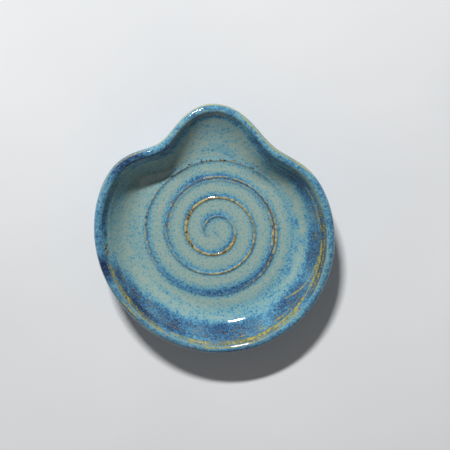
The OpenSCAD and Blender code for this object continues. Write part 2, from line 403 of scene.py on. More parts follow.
    def ochre(self, gap: np.ndarray, travel: np.ndarray) -> np.ndarray:
        """Finds how strongly the glaze breaks to ochre on the crests.

        Args:
            gap: Signed gaps to the crest.
            travel: Travels along the ridge.

        Returns:
            Strengths of the line.
        """
        half_width = along(travel, self.line_width_stops) * self.line_width / 2
        crest = np.exp(-(np.abs(gap / half_width) ** self.line_edge_power)) * along(travel, self.ochre_stops)
        twin = np.exp(-(np.abs((gap + self.twin_gap) / half_width) ** self.line_edge_power))
        return np.maximum(crest, twin * along(travel, self.twin_ochre_stops))

    def soot(self, gap: np.ndarray, travel: np.ndarray) -> np.ndarray:
        """Finds how strongly dark flecks gather on the crest, and in the groove beside its twin.

        Args:
            gap: Signed gaps to the crest.
            travel: Travels along the ridge.

        Returns:
            Strengths of the flecks.
        """
        half_width = along(travel, self.line_width_stops) * MILLIMETRE
        crest = np.exp(-((gap / half_width) ** 2)) * along(travel, self.soot_stops)
        groove = np.exp(-(((gap + self.twin_gap / 2) / half_width) ** 2))
        return np.maximum(crest, groove * along(travel, self.groove_soot_stops))

    def halo(self, gap: np.ndarray, travel: np.ndarray, hold: float) -> np.ndarray:
        """Finds the depth of blue that gathers on both sides of the ridge.

        Args:
            gap: Signed gaps to the crest.
            travel: Travels along the ridge.
            hold: Distance from the crest over which the blue keeps its depth.

        Returns:
            Depths of blue.
        """
        inner_reach = along(travel, self.inner_reach_stops) * self.halo_width
        outer_reach = along(travel, self.outer_reach_stops) * self.halo_width
        inner_gap = np.maximum(0, -gap - hold)
        outer_gap = np.maximum(0, gap - hold)
        inner = along(travel, self.inner_blue_stops) * np.exp(-((inner_gap / inner_reach) ** 2))
        outer = along(travel, self.outer_blue_stops) * np.exp(-((outer_gap / outer_reach) ** 2))
        return np.where(gap < 0, inner, outer)


@dataclass(frozen=True)
class GlazePoolAndPaintedLight:
    """A patch of blue on the wall or rim: mostly where the glaze lies thick and blue, and in a few marked
    places painted shade or painted light.
    """

    turn: float
    spread: float
    inset: float
    reach_up: float
    reach_down: float
    depth: float

    def amount(self, turn: np.ndarray, inset: np.ndarray) -> np.ndarray:
        """Finds the depth of blue that this pool gives.

        Args:
            turn: Turns of the points.
            inset: Their plan insets, in millimetres.

        Returns:
            Depths of blue.
        """
        away = inset - self.inset
        reach = np.where(away < 0, self.reach_up, self.reach_down)
        return self.depth * swell(turn, self.turn, self.spread) * np.exp(-((away / reach) ** 4))


@dataclass(frozen=True)
class BrokenLine:
    """A throwing line round the wall or rim on which the glaze breaks to straw and olive."""

    first_turn: float
    last_turn: float
    first_inset: float
    last_inset: float
    spread: float
    strength: float
    ease_turn: float = 12.0
    bow: float = 1.0

    def amount(self, turn: np.ndarray, inset: np.ndarray) -> np.ndarray:
        """Finds how strongly the line shows.

        Args:
            turn: Turns of the points.
            inset: Their plan insets, in millimetres.

        Returns:
            Strengths of the line.
        """
        way = (turn - self.first_turn) % FULL_TURN
        length = (self.last_turn - self.first_turn) % FULL_TURN
        middle = mix(self.first_inset, self.last_inset, np.clip(way / length, 0, 1) ** self.bow)
        inside = np.minimum(way, length - way)
        ends = soft_step(inside, 0, self.ease_turn)
        return self.strength * ends * np.exp(-(((inset - middle) / self.spread) ** 2))


def strongest(
    parts: Sequence[Union[GlazePoolAndPaintedLight, BrokenLine]], turn: np.ndarray, inset: np.ndarray
) -> np.ndarray:
    """The largest amount that any of the parts gives to each point."""
    return np.max([np.zeros_like(turn), *(part.amount(turn, inset) for part in parts)], axis=0)


@dataclass(frozen=True)
class ThrownWall:
    """Throwing lines, blue patches and flecks of the wall and the rim; a few patches are painted shade or
    painted light.

    Insets of the patches and lines are plan millimetres in from the edge.
    """

    pools_and_painted_light: tuple[GlazePoolAndPaintedLight, ...] = (
        GlazePoolAndPaintedLight(180, 400, 2.0, 4.0, 3.2, 0.46),
        GlazePoolAndPaintedLight(180, 400, -0.8, 6.0, 1.2, 0.58),
        GlazePoolAndPaintedLight(70, 34, 2.0, 2.4, 2.2, 0.46),
        GlazePoolAndPaintedLight(185, 58, 1.3, 3.0, 1.7, 0.60),
        GlazePoolAndPaintedLight(226, 18, 1.6, 3.0, 1.9, 0.56),
        GlazePoolAndPaintedLight(254, 10, 2.6, 4.0, 3.0, 0.92),
        GlazePoolAndPaintedLight(312, 19, 2.2, 3.0, 2.6, 0.76),
        GlazePoolAndPaintedLight(0, 26, 5.2, 2.2, 2.4, 0.60),
        # Partly painted highlight: the lip's bead is blue glaze, set paler in part to stand for the glint on
        # it.
        GlazePoolAndPaintedLight(4, 34, 1.6, 2.4, 1.8, 0.49),
        GlazePoolAndPaintedLight(330, 26, 4.8, 2.4, 3.2, 0.64),
        GlazePoolAndPaintedLight(28, 20, 5.2, 2.6, 3.2, 0.60),
        GlazePoolAndPaintedLight(62, 30, 7.5, 3.5, 4.5, 0.65),
        GlazePoolAndPaintedLight(98, 26, 8.5, 4.0, 5.0, 0.68),
        GlazePoolAndPaintedLight(132, 30, 8.0, 4.0, 6.0, 0.70),
        GlazePoolAndPaintedLight(172, 34, 8.5, 4.0, 5.8, 0.73),
        GlazePoolAndPaintedLight(205, 26, 8.0, 4.0, 5.6, 0.71),
        GlazePoolAndPaintedLight(232, 20, 7.5, 3.0, 3.8, 0.71),
        GlazePoolAndPaintedLight(246, 14, 6.8, 3.0, 2.0, 0.70),
        GlazePoolAndPaintedLight(100, 42, 5.3, 1.5, 2.0, 0.90),
        GlazePoolAndPaintedLight(170, 46, 5.2, 1.6, 2.0, 0.72),
        GlazePoolAndPaintedLight(226, 32, 5.6, 1.8, 2.0, 0.80),
        GlazePoolAndPaintedLight(285, 24, 5.4, 1.8, 1.5, 0.60),
        # Painted shade: a darker teal on the left inner wall stands for the shade that falls on that wall.
        GlazePoolAndPaintedLight(288, 30, 8.5, 3.0, 5.5, 0.22),
        GlazePoolAndPaintedLight(148, 24, 13.0, 3.0, 3.0, 0.34),
        GlazePoolAndPaintedLight(84, 7, 18.0, 2.0, 1.4, 0.44),
        GlazePoolAndPaintedLight(96, 4, 14.0, 4.0, 4.5, 0.42),
        GlazePoolAndPaintedLight(118, 9, 18.6, 1.6, 1.4, 0.42),
        GlazePoolAndPaintedLight(137, 8, 18.0, 3.0, 2.2, 0.36),
        GlazePoolAndPaintedLight(158, 24, 17.0, 4.0, 2.6, 0.28),
        GlazePoolAndPaintedLight(6, 14, 22.0, 3.0, 2.6, 0.34),
        GlazePoolAndPaintedLight(0, 13, 13.0, 6.0, 7.0, 0.16),
        GlazePoolAndPaintedLight(214, 22, 18.3, 1.2, 1.2, 0.26),
        GlazePoolAndPaintedLight(262, 34, 19.0, 4.0, 4.0, 0.16),
        GlazePoolAndPaintedLight(180, 400, 60.0, 3.4, 9.0, 0.24),
    )
    straw_lines: tuple[BrokenLine, ...] = (
        BrokenLine(8, 60, 1.1, 0.4, 0.55, 0.92, 8.0),
        BrokenLine(322, 20, 0.2, 0.3, 0.36, 0.84, 8.0),
        BrokenLine(328, 16, 4.4, 4.8, 1.40, 0.58, 10.0),
        BrokenLine(40, 84, 4.2, 4.4, 1.00, 0.62),
        BrokenLine(84, 128, 3.6, 3.9, 0.40, 0.74),
        BrokenLine(54, 96, 7.0, 6.3, 0.45, 0.72),
        BrokenLine(86, 128, 6.3, 6.4, 0.50, 1.12),
        BrokenLine(116, 186, 6.5, 4.8, 0.48, 1.08),
        BrokenLine(118, 176, 7.6, 6.8, 0.35, 0.56),
        BrokenLine(98, 136, 7.0, 12.6, 0.34, 0.86, 5.0, 2.2),
        BrokenLine(146, 193, 3.9, 3.1, 0.40, 1.02),
        BrokenLine(120, 160, 4.6, 4.2, 0.40, 0.66),
        BrokenLine(176, 212, 5.2, 5.0, 0.45, 0.88),
        BrokenLine(220, 238, 2.6, 2.4, 0.42, 1.10, 5.0),
        BrokenLine(222, 262, 4.6, 5.3, 0.45, 0.86),
        BrokenLine(190, 236, 3.7, 3.9, 0.35, 0.68),
        BrokenLine(282, 308, 5.4, 5.8, 0.60, 0.62),
        BrokenLine(330, 352, 2.0, 3.2, 0.40, 0.60),
        BrokenLine(282, 332, 0.7, 0.7, 0.50, 0.62),
        BrokenLine(144, 160, 10.4, 10.0, 0.28, 0.74),
        BrokenLine(66, 128, 5.0, 5.2, 1.40, 0.58),
        BrokenLine(58, 266, 8.6, 8.4, 3.20, 0.30, 20.0),
        BrokenLine(122, 204, 5.4, 4.6, 1.50, 0.68),
        BrokenLine(198, 264, 4.4, 5.0, 1.40, 0.60),
        BrokenLine(176, 250, 1.3, 1.5, 1.00, 0.44),
    )
    fleck_lines: tuple[BrokenLine, ...] = (
        BrokenLine(70, 200, 5.2, 4.6, 1.40, 0.60),
        BrokenLine(190, 262, 4.2, 5.2, 1.50, 0.62),
        BrokenLine(256, 270, 5.0, 5.6, 2.00, 0.95, 5.0),
        BrokenLine(268, 312, 5.2, 5.4, 0.90, 0.78),
        BrokenLine(232, 268, 3.0, 3.0, 1.60, 0.50),
        BrokenLine(262, 330, 2.0, 2.2, 1.40, 0.42),
        BrokenLine(330, 30, 5.0, 5.0, 1.20, 0.50),
        BrokenLine(40, 120, 2.0, 2.0, 1.40, 0.36),
    )
    main_line_inset: float = 0.0076
    main_line_height: float = 0.0003
    main_line_stops: Stops = ((40, 0.5), (80, 1), (215, 1), (262, 0.35), (320, 0.3), (345, 0.5))
    main_line_spread: float = 0.0005
    ripple_insets: tuple[float, ...] = (0.0052, 0.0091, 0.0106)
    ripple_height: float = 0.00006
    ripple_spread: float = 0.0006
    ripple_sway: float = 0.0004
    ripple_base_share: float = 0.6
    ripple_swing_share: float = 0.4
    ripple_shift: float = 70.0
    sway_waves: Waves = ((2, 40, 1.0),)
    smoothed_share: float = 1.15

    def raises(self, inset: np.ndarray, turn: np.ndarray, channel: np.ndarray) -> np.ndarray:
        """Finds the height of the throwing lines over the wall, smoothed away in the lip's channel.

        Args:
            inset: Plan insets of the points, in metres.
            turn: Turns of the points.
            channel: How much of the lip's channel is there.

        Returns:
            Heights.
        """
        sway = self.ripple_sway * waves(turn, self.sway_waves)
        main_share = along(turn, self.main_line_stops)
        main_away = (inset - self.main_line_inset) / self.main_line_spread
        raised = self.main_line_height * main_share * np.exp(-(main_away**2))
        for number, ripple_inset in enumerate(self.ripple_insets):
            swing = ((number + 1, self.ripple_shift * number, self.ripple_swing_share),)
            change = self.ripple_base_share + waves(turn, swing)
            away = (inset - ripple_inset - sway) / self.ripple_spread
            raised = raised + self.ripple_height * change * np.exp(-(away**2))
        return raised * (1 - np.minimum(1, self.smoothed_share * channel))

    def blue(self, turn: np.ndarray, inset: np.ndarray) -> np.ndarray:
        """Depth of blue from every patch, painted shade and light among them, at plan insets in millimetres.
        """
        return strongest(self.pools_and_painted_light, turn, inset)

    def straw(self, turn: np.ndarray, inset: np.ndarray) -> np.ndarray:
        """Strength of the straw-coloured lines, at plan insets in millimetres."""
        return strongest(self.straw_lines, turn, inset)

    def flecks(self, turn: np.ndarray, inset: np.ndarray) -> np.ndarray:
        """Strength of the dark flecks, at plan insets in millimetres."""
        return strongest(self.fleck_lines, turn, inset)


@dataclass(frozen=True)
class DishSkin:
    """The dish's surface with all its relief: form, ridge, throwing lines and a slight wobble."""

    form: DishForm = field(default_factory=DishForm)
    spiral: ThrowersSpiral = field(default_factory=ThrowersSpiral)
    wall: ThrownWall = field(default_factory=ThrownWall)
    wobble: float = 0.00008
    wobble_base_share: float = 1.5
    wobble_waves: Waves = ((3, 20, 1.0), (7, -50, 0.5))
    glaze_line_share: float = 0.74
    outer_ripple_height: float = 0.00012
    outer_ripple_pitch: float = 0.0026
    trim_ring_height: float = 0.00008
    trim_ring_pitch: float = 0.0021
    sweep_stretch_share: float = 0.12
    run_stretch_share: float = 0.16

    def place(self, station: np.ndarray, depth: np.ndarray, turn: np.ndarray) -> np.ndarray:
        """Finds points of the skin in space.

        Args:
            station: Number of the stretch plus the share of the way along it.
            depth: 0 on the face of the glaze, 1 on the clay under it.
            turn: Turns of the points.

        Returns:
            One row of x, y and z for each point.
        """
        form = self.form
        radius, height, lean = form.surface(station, turn)
        inset = form.plan_radius(turn) - radius
        gap, travel = self.spiral.nearest(radius, turn)
        inner = station < Stretch.BEAD
        lines = self.wall.raises(inset, turn, form.channel(turn))
        raised = np.where(inner, self.spiral.raises(gap, travel) + lines, 0)
        uneven = self.wobble_base_share + waves(turn, self.wobble_waves)
        sunk = self.wobble * uneven * np.abs(np.sin(lean))
        raised = raised - np.where(station < Stretch.FOOT, sunk, 0)
        outer = (station > Stretch.OUTER_WALL) & (station < Stretch.FOOT)
        ripple = np.sin(2 * math.pi * height / self.outer_ripple_pitch + np.radians(turn)) - 1
        raised = raised + np.where(outer, self.outer_ripple_height * ripple / 2, 0)
        sink = depth * form.glaze_coat - raised
        foot = station >= Stretch.FOOT
        sink = np.where(foot, 0, sink)
        under = foot & (radius < form.foot_radius - form.foot_width - form.foot_bevel)
        rings = np.sin(2 * math.pi * radius / self.trim_ring_pitch + np.radians(turn))
        height = height + np.where(under, self.trim_ring_height * rings, 0)
        radius = radius + sink * np.sin(lean)
        height = height - sink * np.cos(lean)
        around = np.radians(turn)
        return np.stack([radius * np.sin(around), radius * np.cos(around), height], axis=1)

    def sweep(self, station: np.ndarray, turn: np.ndarray) -> np.ndarray:
        """Finds coordinates for streaks that follow the wheel.

        Args:
            station: Stations of the points.
            turn: Turns of the points.

        Returns:
            One row of three for each point: drawn out round the dish and close across the profile.
        """
        radius, height, lean = self.form.surface(station, turn)
        around = np.radians(turn)
        across = radius * np.cos(lean) + height * np.sin(lean)
        drawn = self.form.rim_radius * self.sweep_stretch_share
        return np.stack([drawn * np.sin(around), drawn * np.cos(around), across], axis=1)

    def runs(self, station: np.ndarray, turn: np.ndarray) -> np.ndarray:
        """Finds coordinates for streaks that run down the outer wall.

        Args:
            station: Stations of the points.
            turn: Turns of the points.

        Returns:
            One row of three for each point: close round the dish and drawn out down the wall.
        """
        radius, height, _ = self.form.surface(station, turn)
        around = np.radians(turn)
        down = (height + radius) * self.run_stretch_share
        rim = self.form.rim_radius
        return np.stack([rim * np.sin(around), rim * np.cos(around), down], axis=1)


class Desk:
    """Lays out nodes in one shader tree."""

    def __init__(self, tree: bpy.types.NodeTree) -> None:
        """Keeps the tree to work in."""
        self.tree = tree

    def add(self, kind: str, **settings: object) -> bpy.types.Node:
        """Adds a node with its settings.

        Args:
            kind: Type of the node.
            settings: Properties to set on it.

        Returns:
            The node.
        """
        node = self.tree.nodes.new(kind)
        for name, value in settings.items():
            setattr(node, name, value)
        return node

    def put(self, value: Value, socket: bpy.types.NodeSocket) -> None:
        """Links a socket into an input, or sets the input to a plain value.

        Args:
            value: An output socket or a plain value.
            socket: The input.
        """
        if isinstance(value, bpy.types.NodeSocket):
            self.tree.links.new(value, socket)
        else:
            socket.default_value = value

    def math(self, operation: str, first: Value, second: Value = 0.0) -> bpy.types.NodeSocket:
        """Adds a Math node.

        Args:
            operation: What it works out.
            first: Its first value.
            second: Its second value.

        Returns:
            Its result.
        """
        node = self.add("ShaderNodeMath", operation=operation)
        self.put(first, node.inputs[0])
        self.put(second, node.inputs[1])
        return node.outputs[0]

    def blend(self, share: Value, first: Value, second: Value, way: str = "MIX") -> bpy.types.NodeSocket:
        """Adds a colour Mix node.

        Args:
            share: Share of the second colour.
            first: The colour at 0.
            second: The colour at 1.
            way: How the colours are mixed.

        Returns:
            The mixed colour.
        """
        node = self.add("ShaderNodeMix", data_type="RGBA", blend_type=way, clamp_factor=True)
        self.put(share, node.inputs[0])
        self.put(first, node.inputs[6])
        self.put(second, node.inputs[7])
        return node.outputs[2]

    def step(
        self, value: Value, low: float, high: float, first: float = 0.0, last: float = 1.0
    ) -> bpy.types.NodeSocket:
        """Adds a smooth step.

        Args:
            value: The value that is looked at.
            low: Value at which the step starts.
            high: Value at which it ends.
            first: Result up to low.
            last: Result from high on.

        Returns:
            The result.
        """
        node = self.add("ShaderNodeMapRange", interpolation_type="SMOOTHSTEP")
        self.put(value, node.inputs[0])
        for number, setting in enumerate((low, high, first, last)):
            node.inputs[number + 1].default_value = setting
        return node.outputs[0]

    def noise(
        self, place: Value, scale: float, detail: float, roughness: float = 0.5
    ) -> bpy.types.NodeSocket:
        """Adds a noise texture.

        Args:
            place: Coordinates.
            scale: Cells to the metre.
            detail: Number of finer layers.
            roughness: Weight of the finer layers.

        Returns:
            The noise, about a half on average.
        """
        node = self.add("ShaderNodeTexNoise")
        self.put(place, node.inputs["Vector"])
        node.inputs["Scale"].default_value = scale
        node.inputs["Detail"].default_value = detail
        node.inputs["Roughness"].default_value = roughness
        return node.outputs[0]

    def cells(self, place: Value, scale: float) -> bpy.types.NodeSocket:
        """Adds a Voronoi texture.

        Args:
            place: Coordinates.
            scale: Cells to the metre.

        Returns:
            Distance to the nearest point.
        """
        node = self.add("ShaderNodeTexVoronoi")
        self.put(place, node.inputs["Vector"])
        node.inputs["Scale"].default_value = scale
        return node.outputs["Distance"]

    def ramp(self, value: Value, stops: Sequence[tuple[float, Tint]]) -> bpy.types.NodeSocket:
        """Adds a colour ramp.

        Args:
            value: The value that is looked up.
            stops: Places and tints, in order.

        Returns:
            The colour.
        """
        node = self.add("ShaderNodeValToRGB")
        elements = node.color_ramp.elements
        while len(elements) < len(stops):
            elements.new(1.0)
        for element, (place, tint) in zip(elements, stops):
            element.position = place
            element.color = tint.linear()
        self.put(value, node.inputs[0])
        return node.outputs[0]

    def away(self, value: Value, amount: Value) -> bpy.types.NodeSocket:
        """Turns a noise value into a swing of the given amount about zero."""
        return self.math("MULTIPLY", self.math("SUBTRACT", value, 0.5), amount)

    def total(self, *values: Value) -> bpy.types.NodeSocket:
        """Adds several values up.

        Args:
            values: Sockets or plain values.

        Returns:
            Their sum.
        """
        result = values[0]
        for value in values[1:]:
            result = self.math("ADD", result, value)
        return result

    def attribute(self, name: str) -> bpy.types.Node:
        """Adds a node that reads an attribute of the mesh."""
        return self.add("ShaderNodeAttribute", attribute_name=name)

    def group(self, tree: bpy.types.NodeTree, **values: Value) -> bpy.types.Node:
        """Places a node group with its inputs.

        Args:
            tree: The group's tree.
            values: What its inputs are given, by name.

        Returns:
            The group's node.
        """
        node = self.add("ShaderNodeGroup", node_tree=tree)
        for name, value in values.items():
            self.put(value, node.inputs[name])
        return node

    def bump(self, height: Value, strength: float, distance: float) -> bpy.types.NodeSocket:
        """Adds a bump.

        Args:
            height: Height of the surface, from 0 to 1.
            strength: Share of the bump that shows.
            distance: Length that a height of 1 stands for.

        Returns:
            The bent normal.
        """
        node = self.add("ShaderNodeBump")
        node.inputs["Strength"].default_value = strength
        node.inputs["Distance"].default_value = distance
        self.put(height, node.inputs["Height"])
        return node.outputs["Normal"]


def new_material(
    name: str,
) -> tuple[bpy.types.Material, Desk, bpy.types.Node, bpy.types.NodeSocket]:
    """Starts a material.

    Args:
        name: Name of the material.

    Returns:
        The material, the desk to lay its nodes on, its shader and the place on the object.
    """
    material = bpy.data.materials.new(name)
    material.use_nodes = True
    desk = Desk(material.node_tree)
    shader = material.node_tree.nodes["Principled BSDF"]
    return material, desk, shader, desk.add("ShaderNodeTexCoord").outputs["Object"]


def new_group(
    name: str, inputs: Sequence[str], outputs: Sequence[str]
) -> tuple[Desk, bpy.types.Node, bpy.types.Node]:
    """Starts a shader node group.

    Args:
        name: Name of the group.
        inputs: Names of its inputs: Place and Sweep are vectors and the others are values.
        outputs: Names of its outputs: those that end in Tint are colours and the others are values.

    Returns:
        The desk to lay its nodes on, its input node and its output node.
    """
    tree = bpy.data.node_groups.new(name, "ShaderNodeTree")
    for socket in inputs:
        kind = "NodeSocketVector" if socket in ("Place", "Sweep") else "NodeSocketFloat"
        tree.interface.new_socket(name=socket, in_out="INPUT", socket_type=kind)
    for socket in outputs:
        kind = "NodeSocketColor" if socket.endswith("Tint") else "NodeSocketFloat"
        tree.interface.new_socket(name=socket, in_out="OUTPUT", socket_type=kind)
    desk = Desk(tree)
    return desk, desk.add("NodeGroupInput"), desk.add("NodeGroupOutput")


class GlazeEffects:
    """The node groups that the three glaze finishes share."""

    grain_scale: float = 980.0
    fine_scale: float = 2300.0
    blot_scale: float = 430.0
    cloud_scale: float = 95.0
    streak_scale: float = 1500.0
    dot_scale: float = 1050.0
    fleck_scale: float = 820.0
    pinhole_scale: float = 520.0
    peel_scale: float = 330.0
    base_blue: float = 0.07
    least_depth_share: float = 0.6
    base_roughness: float = 0.065

    def __init__(self) -> None:
        """Builds the groups once."""
        self.grain = self.grain_group()
        self.line = self.line_group()
        self.skin = self.skin_group()

    def grain_group(self) -> bpy.types.NodeTree:
        """Glaze that breaks in grains from grey-green to blue as it lies thicker.

        Returns:
            The group's tree.
        """
        desk, given, made = new_group(
            "glaze_grain", ("Place", "Sweep", "Blue", "Grain", "Blot", "Streak"), ("Tint", "Depth")
        )
        place = given.outputs["Place"]
        grain = desk.noise(place, self.grain_scale, 2.0, 0.6)
        fine = desk.noise(place, self.fine_scale, 1.0)
        blot = desk.noise(place, self.blot_scale, 3.0, 0.55)
        cloud = desk.noise(place, self.cloud_scale, 2.0)
        streak = desk.noise(given.outputs["Sweep"], self.streak_scale, 3.0, 0.55)
        dots = desk.step(desk.cells(place, self.dot_scale), 0.12, 0.42, 1.0, 0.0)
        pepper = desk.math("MULTIPLY", dots, desk.step(blot, 0.46, 0.6))
        blue = desk.total(
            desk.math("MULTIPLY", given.outputs["Blue"], desk.step(cloud, 0.2, 0.8, 0.93, 1.07)),
            desk.away(cloud, 0.14),
            self.base_blue,
        )
        lively = desk.math("MULTIPLY", desk.step(blue, 0.1, 0.64, 1.3, 0.76), given.outputs["Grain"])
        depth = desk.total(
            blue,
            desk.math("MULTIPLY", desk.away(grain, 1.25), lively),
            desk.math("MULTIPLY", desk.away(fine, 0.5), lively),
            desk.math("MULTIPLY", desk.away(blot, given.outputs["Blot"]), lively),
            desk.math("MULTIPLY", desk.away(streak, given.outputs["Streak"]), lively),
            desk.math("MULTIPLY", pepper, desk.step(blue, 0.12, 0.5, 0.0, 0.1)),
        )
        least = desk.math("MULTIPLY", blue, self.least_depth_share)
        depth = desk.math("MAXIMUM", depth, least)
        tint = desk.ramp(
            depth,
            (
                (0.0, Tint.PALE_CELADON), (0.1, Tint.CELADON), (0.2, Tint.SEA), (0.34, Tint.TURQUOISE),
                (0.48, Tint.SKY), (0.64, Tint.BLUE), (0.82, Tint.COBALT), (1.0, Tint.NAVY),
            ),
        )
        desk.put(tint, made.inputs["Tint"])
        desk.put(depth, made.inputs["Depth"])
        return desk.tree

    def line_group(self) -> bpy.types.NodeTree:
        """Lines where thin glaze breaks to ochre or straw, with rust and dark flecks.

        Returns:
            The group's tree.
        """
        desk, given, made = new_group(
            "broken_line",
            ("Place", "Sweep", "Line", "Soot", "Straw"),
            ("Line Tint", "Share", "Dark Tint", "Dark"),
        )
        place = given.outputs["Place"]
        rough = desk.noise(place, self.grain_scale, 2.0, 0.6)
        patch = desk.noise(place, self.blot_scale, 2.0)
        fleck = desk.noise(place, self.fleck_scale, 2.0, 0.6)
        fine = desk.noise(place, self.fine_scale, 1.0)
        swept = desk.noise(given.outputs["Sweep"], self.streak_scale, 3.0, 0.6)
        grains = desk.total(
            desk.away(fine, 1.5), desk.away(swept, 1.0), desk.away(rough, -0.4), desk.away(patch, -0.3)
        )
        grains = desk.math("MULTIPLY", grains, given.outputs["Straw"])
        line = desk.total(given.outputs["Line"], desk.away(rough, 1.0), desk.away(patch, 0.6), grains)
        share = desk.step(line, 0.34, 0.86)
        warm = desk.total(
            patch,
            desk.away(rough, 0.9),
            desk.math("MULTIPLY", desk.away(fine, 0.7), given.outputs["Straw"]),
            desk.math("MULTIPLY", given.outputs["Soot"], -0.14),
        )
        ochre = desk.ramp(
            warm, ((0.24, Tint.SOOT), (0.34, Tint.RUST), (0.47, Tint.OCHRE), (0.66, Tint.HONEY))
        )
        straw = desk.ramp(warm, ((0.32, Tint.OLIVE), (0.56, Tint.STRAW)))
        soot = desk.math("MULTIPLY", given.outputs["Soot"], 0.34)
        dark = desk.step(desk.math("ADD", soot, desk.away(fleck, 1.0)), 0.3, 0.42)
        desk.put(desk.blend(given.outputs["Straw"], ochre, straw), made.inputs["Line Tint"])
        desk.put(share, made.inputs["Share"])
        desk.put(desk.ramp(patch, ((0.44, Tint.SOOT), (0.6, Tint.RUST))), made.inputs["Dark Tint"])
        desk.put(dark, made.inputs["Dark"])
        return desk.tree

    def skin_group(self) -> bpy.types.NodeTree:
        """Fired surface of the glaze: soft orange peel, pinholes and uneven gloss.

        Returns:
            The group's tree.
        """
        desk, given, made = new_group("glaze_skin", ("Place", "Depth"), ("Gloss", "Height"))
        place = given.outputs["Place"]
        peel = desk.noise(place, self.peel_scale, 2.0)
        fine = desk.noise(place, self.grain_scale, 2.0)
        holes = desk.step(desk.cells(place, self.pinhole_scale), 0.0, 0.13)
        sparse = desk.step(desk.noise(place, self.cloud_scale * 3, 1.0), 0.6, 0.68)
        pit = desk.math("MULTIPLY", desk.math("SUBTRACT", 1.0, holes), sparse)
        gloss = desk.total(
            self.base_roughness,
            desk.away(peel, 0.05),
            desk.away(fine, 0.04),
            desk.math("MULTIPLY", given.outputs["Depth"], -0.02),
        )
        height = desk.total(
            desk.math("MULTIPLY", peel, 0.8),
            desk.math("MULTIPLY", fine, 0.12),
            desk.math("MULTIPLY", pit, -0.9),
        )
        desk.put(gloss, made.inputs["Gloss"])
        desk.put(height, made.inputs["Height"])
        return desk.tree


@dataclass(frozen=True)
class GlazeFinish:
    """A fired glaze, with its liveliness and its gloss."""

    name: str
    grain: float = 1.0
    blot: float = 0.4
    streak: float = 0.3
    bump_height: float = 0.00006
    bump_strength: float = 0.35
    coat_weight: float = 0.2
    coat_roughness: float = 0.03

    def material(self, effects: GlazeEffects) -> bpy.types.Material:
        """Builds the finish.

        Args:
            effects: The shared node groups.

        Returns:
            A material that reads the blue, line, soot, straw and sweep attributes of its mesh.
        """
        material, desk, shader, place = new_material(self.name)
        sweep = desk.attribute("sweep").outputs["Vector"]
        grain = desk.group(
            effects.grain,
            Place=place,
            Sweep=sweep,
            Blue=desk.attribute("blue").outputs["Fac"],
            Grain=self.grain,
            Blot=self.blot,
            Streak=self.streak,
        )
        line = desk.group(
            effects.line,
            Place=place,
            Sweep=sweep,
            Line=desk.attribute("line").outputs["Fac"],
            Soot=desk.attribute("soot").outputs["Fac"],
            Straw=desk.attribute("straw").outputs["Fac"],
        )
        skin = desk.group(effects.skin, Place=place, Depth=grain.outputs["Depth"])
        tint = desk.blend(line.outputs["Share"], grain.outputs["Tint"], line.outputs["Line Tint"])
        tint = desk.blend(line.outputs["Dark"], tint, line.outputs["Dark Tint"])
        normal = desk.bump(skin.outputs["Height"], self.bump_strength, self.bump_height)
        desk.put(tint, shader.inputs["Base Color"])
        desk.put(skin.outputs["Gloss"], shader.inputs["Roughness"])
        desk.put(normal, shader.inputs["Normal"])
        shader.inputs["Coat Weight"].default_value = self.coat_weight
        shader.inputs["Coat Roughness"].default_value = self.coat_roughness
        return material


@dataclass(frozen=True)
class ClayFinish:
    """Bare fired stoneware with iron specks and trimming marks."""

    name: str = "bare_stoneware"
    speck_scale: float = 620.0
    grain_scale: float = 2400.0
    cloud_scale: float = 60.0
    bump_height: float = 0.00012
    bump_strength: float = 0.5
    roughness: float = 0.82

    def material(self) -> bpy.types.Material:
        """Builds the finish.

        Returns:
            A material that reads the toast attribute of its mesh.
        """
        material, desk, shader, place = new_material(self.name)
        cloud = desk.noise(place, self.cloud_scale, 3.0)
        sand = desk.noise(place, self.grain_scale, 2.0, 0.6)
        shade = desk.math("ADD", cloud, desk.away(sand, 0.7))
        tint = desk.ramp(shade, ((0.3, Tint.WARM_CLAY), (0.62, Tint.CLAY)))
        toast = desk.math("ADD", desk.attribute("toast").outputs["Fac"], desk.away(cloud, 0.9))
        tint = desk.blend(desk.step(toast, 0.2, 1.1), tint, Tint.TOAST.linear())
        specks = desk.step(desk.cells(place, self.speck_scale), 0.10, 0.2, 1.0, 0.0)
        chosen = desk.step(desk.noise(place, self.speck_scale / 2, 1.0), 0.52, 0.6)
        tint = desk.blend(desk.math("MULTIPLY", specks, chosen), tint, Tint.IRON.linear())
        normal = desk.bump(sand, self.bump_strength, self.bump_height)
        desk.put(tint, shader.inputs["Base Color"])
        desk.put(desk.total(self.roughness, desk.away(sand, 0.2)), shader.inputs["Roughness"])
        desk.put(normal, shader.inputs["Normal"])
        return material


